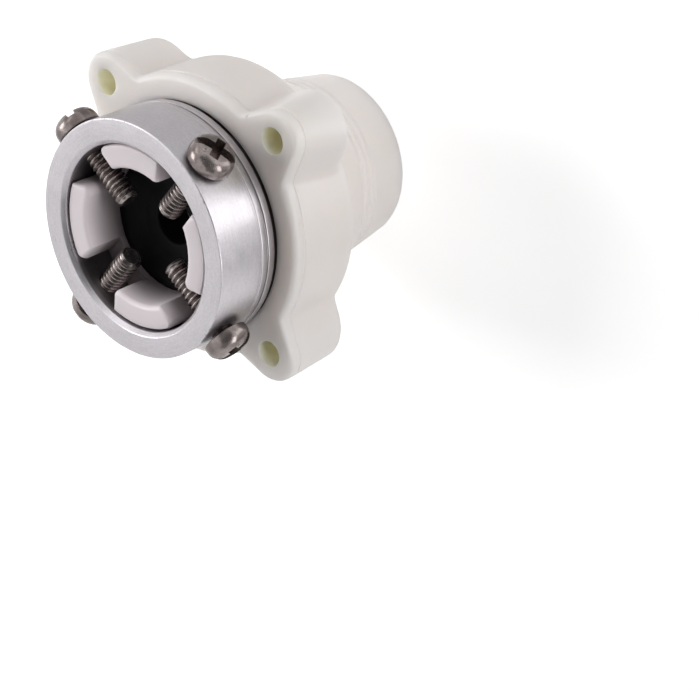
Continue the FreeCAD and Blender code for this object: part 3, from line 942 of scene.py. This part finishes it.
def seen_directly(nodes):
    """1 for camera, glossy and transmission rays, 0 for the light that falls on things."""
    path = nodes.add("ShaderNodeLightPath")
    any_two = nodes.math("MAXIMUM", path.outputs["Is Camera Ray"], path.outputs["Is Glossy Ray"])
    return nodes.math("MAXIMUM", any_two, path.outputs["Is Transmission Ray"])


def card(name, points, faces, level):
    """A studio card that only reflections see, and that lights nothing."""
    mesh = bpy.data.meshes.new(name)
    mesh.from_pydata(points, [], faces)
    made = new_object(mesh)
    material = bpy.data.materials.new(name)
    material.use_nodes = True
    nodes = Nodes(material.node_tree)
    glow = nodes.add("ShaderNodeEmission", {"Color": WHITE, "Strength": level})
    nodes.add("ShaderNodeOutputMaterial", {"Surface": glow.outputs[0]})
    mesh.materials.append(material)
    made.visible_camera = False
    made.visible_diffuse = False
    made.visible_shadow = False
    made.visible_transmission = False


def floor_card(name, start, finish, level):
    """A card just over the floor round the object, from one azimuth in degrees to another."""
    count = FLOOR_CARD_STEPS
    turn = np.radians(np.linspace(start, finish, count))
    points = np.concatenate([
        np.column_stack([r * np.cos(turn), r * np.sin(turn), np.full(count, FLOOR_CARD_Z)])
        for r in FLOOR_CARD_R])
    faces = [(n, n + count, n + count + 1, n + 1) for n in range(count - 1)]
    card(name, points.tolist(), faces, level)


def facing_card(name, towards, distance, width, height, level):
    """A flat card that faces the object from a direction."""
    away = Vector(towards).normalized()
    across = away.cross(Vector((0, 0, 1))).normalized()
    up = across.cross(away)
    middle = Vector((0, 0, FACING_CARD_Z)) + away * distance
    points = [middle + across * (x * width / 2) + up * (y * height / 2)
              for x, y in ((-1, -1), (1, -1), (1, 1), (-1, 1))]
    card(name, points, [(0, 1, 2, 3)], level)


def surroundings(scene, settings):
    """A world that shows as plain white, and lights the object mostly from the sides."""
    world = bpy.data.worlds.new("surroundings")
    scene.world = world
    world.use_nodes = True
    nodes = Nodes(world.node_tree)
    towards = nodes.add("ShaderNodeTexCoord").outputs["Generated"]
    soft = nodes.span(nodes.height(towards), 0.1, 0.5, settings.side_level, settings.top_level)
    direct = seen_directly(nodes)
    lit = nodes.math("MULTIPLY", nodes.math("SUBTRACT", 1.0, direct), soft)
    sky = nodes.add("ShaderNodeBackground", {
        "Color": WHITE, "Strength": nodes.math("ADD", lit, direct)})
    nodes.add("ShaderNodeOutputWorld", {"Surface": sky.outputs[0]})


def white_floor():
    """A wide pale floor. Its glow whitens it where it is seen, and lights nothing."""
    mesh = bpy.data.meshes.new("floor")
    far = FLOOR_REACH
    mesh.from_pydata([(-far, -far, 0), (far, -far, 0), (far, far, 0), (-far, far, 0)],
                     [], [(0, 1, 2, 3)])
    floor = new_object(mesh)
    material = bpy.data.materials.new("floor")
    material.use_nodes = True
    nodes = Nodes(material.node_tree)
    paint = nodes.add("ShaderNodeBsdfDiffuse", {"Color": (FLOOR_GREY,) * 3 + (1,)})
    glow = nodes.add("ShaderNodeEmission", {
        "Color": WHITE, "Strength": nodes.math("MULTIPLY", seen_directly(nodes), FLOOR_GLOW)})
    both = nodes.add("ShaderNodeAddShader", {0: paint.outputs[0], 1: glow.outputs[0]})
    nodes.add("ShaderNodeOutputMaterial", {"Surface": both.outputs[0]})
    mesh.materials.append(material)


def photograph_camera(scene):
    """The camera from which the photograph was taken."""
    camera = bpy.data.cameras.new("camera")
    camera.lens = CAMERA_LENS
    camera.sensor_width = SENSOR
    camera.clip_start = CAMERA_CLIP
    eye = bpy.data.objects.new("camera", camera)
    scene.collection.objects.link(eye)
    turn = Matrix((CAMERA_RIGHT, CAMERA_UP, CAMERA_BACK)).transposed().to_4x4()
    eye.matrix_world = Matrix.Translation(CAMERA_PLACE) @ turn
    scene.camera = eye


class BodySettings(bpy.types.PropertyGroup):
    """Sizes and colours of the moulded body and its packing"""
    plastic_colour: FloatVectorProperty(
        name="Plastic colour", description="Colour of the moulded body", subtype="COLOR",
        size=3, default=(0.875, 0.822, 0.80), min=0, max=1)
    # Pale yellowish, raised as painted light for the deep cored holes
    core_tint_and_painted_light: FloatVectorProperty(
        name="Cored hole colour", description="Colour inside the holes of the ears",
        subtype="COLOR", size=3, default=(1.0, 0.94, 0.75), min=0, max=1)
    rubber_colour: FloatVectorProperty(
        name="Rubber colour", description="Colour of the packing", subtype="COLOR",
        size=3, default=(0.0022, 0.0022, 0.0026), min=0, max=1)
    edge_round: FloatProperty(
        name="Edge rounding", description="Rounding of the front plate's edge",
        unit="LENGTH", default=1.1 * MM, min=0.1 * MM, max=1.5 * MM)
    neck_round: FloatProperty(
        name="Neck blend", description="How softly the ears run into the barrel",
        unit="LENGTH", default=1.2 * MM, min=0.2 * MM, max=4 * MM)
    groove_depth: FloatProperty(
        name="Groove depth", description="Depth of the fine grooves round the tail",
        unit="LENGTH", default=0.4 * MM, min=0, max=0.6 * MM)


class RingSettings(bpy.types.PropertyGroup):
    """Colours of the clamp ring, guide plate and screws"""
    metal_colour: FloatVectorProperty(
        name="Ring colour", description="Colour of the turned ring", subtype="COLOR",
        size=3, default=(0.575, 0.55, 0.575), min=0, max=1)
    petal_colour: FloatVectorProperty(
        name="Guide plate colour", description="Colour of the petals", subtype="COLOR",
        size=3, default=(0.94, 0.855, 0.885), min=0, max=1)
    steel_colour: FloatVectorProperty(
        name="Screw colour", description="Colour of the bright steel", subtype="COLOR",
        size=3, default=(0.35, 0.318, 0.308), min=0, max=1)
    # Darkens the valleys and the recess as dirt and painted shade
    dirt_and_shade_colour: FloatVectorProperty(
        name="Valley colour", description="Colour in the thread's valleys and the recess",
        subtype="COLOR", size=3, default=(0.135, 0.094, 0.086), min=0, max=1)


class StageSettings(bpy.types.PropertyGroup):
    """Light of the stage"""
    lamp_power: FloatProperty(
        name="Lamp power", description="Power of the main soft box", subtype="POWER",
        default=4.0, min=0, max=50)
    side_level: FloatProperty(
        name="Side level", description="How much the surroundings light the object's sides",
        default=1.6, min=0, max=2)
    top_level: FloatProperty(
        name="Top level", description="How much the surroundings light the object's top",
        default=0.06, min=0, max=2)


class HOSE_OT_body(bpy.types.Operator):
    """Build the moulded body with its ears, tail and threaded boss"""
    bl_idname = "hose.body"
    bl_label = "Body"

    def execute(self, context):
        settings = context.scene.hose_body
        body = grid_object("adapter_body_shown", body_points(settings), True)
        cut_with(body, ear_core_cutter())
        finish_mesh(body.data, 30)
        place(body, moulded_plastic(settings), "body", "body_plastic", "adapter_body")
        return {"FINISHED"}


class HOSE_OT_packing(bpy.types.Operator):
    """Build the dished rubber packing"""
    bl_idname = "hose.packing"
    bl_label = "Packing"

    def execute(self, context):
        packing = grid_object("rubber_packing_shown", revolve_points(packing_profile(), 160), True)
        place(packing, black_rubber(context.scene.hose_body), "body", "packing_rubber",
              "rubber_packing")
        return {"FINISHED"}


class HOSE_OT_ring(bpy.types.Operator):
    """Build the turned clamp ring with its four tapped holes"""
    bl_idname = "hose.ring"
    bl_label = "Clamp ring"

    def execute(self, context):
        ring = grid_object("clamp_ring_shown", revolve_points(ring_profile(), RING_STEPS), True)
        cut_with(ring, screw_hole_cutter())
        finish_mesh(ring.data, 28)
        place(ring, turned_aluminium(context.scene.hose_ring), "ring_set", "ring_aluminium",
              "clamp_ring")
        return {"FINISHED"}


class HOSE_OT_guide(bpy.types.Operator):
    """Build the guide plate with its four petals"""
    bl_idname = "hose.guide"
    bl_label = "Guide plate"

    def execute(self, context):
        low, high = GUIDE_LOW.z, GUIDE_HIGH.z
        flange = rounded([(PETAL_BORE_R, low), (GUIDE_R, low), (GUIDE_R, SHOULDER_Z),
                          (PETAL_BORE_R, SHOULDER_Z)], 0.1 * MM)
        pieces = [grid_object("guide_plate_shown", revolve_points(flange, 192), True)]
        for n in range(PETAL_COUNT):
            middle = GUIDE_TURN + TURN / PETAL_COUNT * (n + 0.5)
            points = petal_points(middle, high, low + 0.05 * MM)
            pieces.append(grid_object("petal_%d" % n, points, False, 50))
        place(join(pieces), petal_plastic(context.scene.hose_ring), "ring_set",
              "guide_plastic", "guide_plate")
        return {"FINISHED"}


class HOSE_OT_screws(bpy.types.Operator):
    """Build the four clamp screws with threads and recessed heads"""
    bl_idname = "hose.screws"
    bl_label = "Clamp screws"

    def execute(self, context):
        material = screw_steel(context.scene.hose_ring)
        for n in range(SCREW_COUNT):
            build_screw(n, material)
        return {"FINISHED"}


class HOSE_OT_stage(bpy.types.Operator):
    """Set up the floor, the lamps, the cards, the surroundings and the camera"""
    bl_idname = "hose.stage"
    bl_label = "Stage"

    def execute(self, context):
        scene = context.scene
        settings = scene.hose_stage
        scene.view_settings.view_transform = "Standard"
        surroundings(scene, settings)
        white_floor()
        for name, place_at, width, height, share in LAMPS:
            area_lamp(name, place_at, width, height, settings.lamp_power * share)
        for n, (start, finish, level) in enumerate(FLOOR_CARDS):
            floor_card("floor_card_%d" % n, start, finish, level)
        for values in FACING_CARDS:
            facing_card(*values)
        photograph_camera(scene)
        return {"FINISHED"}


class HOSE_PT_panel(bpy.types.Panel):
    """Lists the builders and their settings"""
    bl_label = "Hose adapter"
    bl_space_type = "VIEW_3D"
    bl_region_type = "UI"
    bl_category = "Hose adapter"

    def draw(self, context):
        for group in GROUPS:
            settings = getattr(context.scene, group)
            box = self.layout.box()
            for name in type(settings).__annotations__:
                box.prop(settings, name)
        for builder in BUILDERS:
            self.layout.operator(builder.bl_idname)


BUILDERS = (HOSE_OT_body, HOSE_OT_packing, HOSE_OT_ring, HOSE_OT_guide, HOSE_OT_screws,
            HOSE_OT_stage)
GROUPS = {"hose_body": BodySettings, "hose_ring": RingSettings, "hose_stage": StageSettings}


def register():
    for cls in (*GROUPS.values(), *BUILDERS, HOSE_PT_panel):
        bpy.utils.register_class(cls)
    for name, group in GROUPS.items():
        setattr(bpy.types.Scene, name, PointerProperty(type=group))


def unregister():
    for name in GROUPS:
        delattr(bpy.types.Scene, name)
    for cls in reversed((*GROUPS.values(), *BUILDERS, HOSE_PT_panel)):
        bpy.utils.unregister_class(cls)


def main():
    register()
    for builder in BUILDERS:
        group, name = builder.bl_idname.split(".")
        getattr(getattr(bpy.ops, group), name)()


if __name__ == "__main__":
    main()
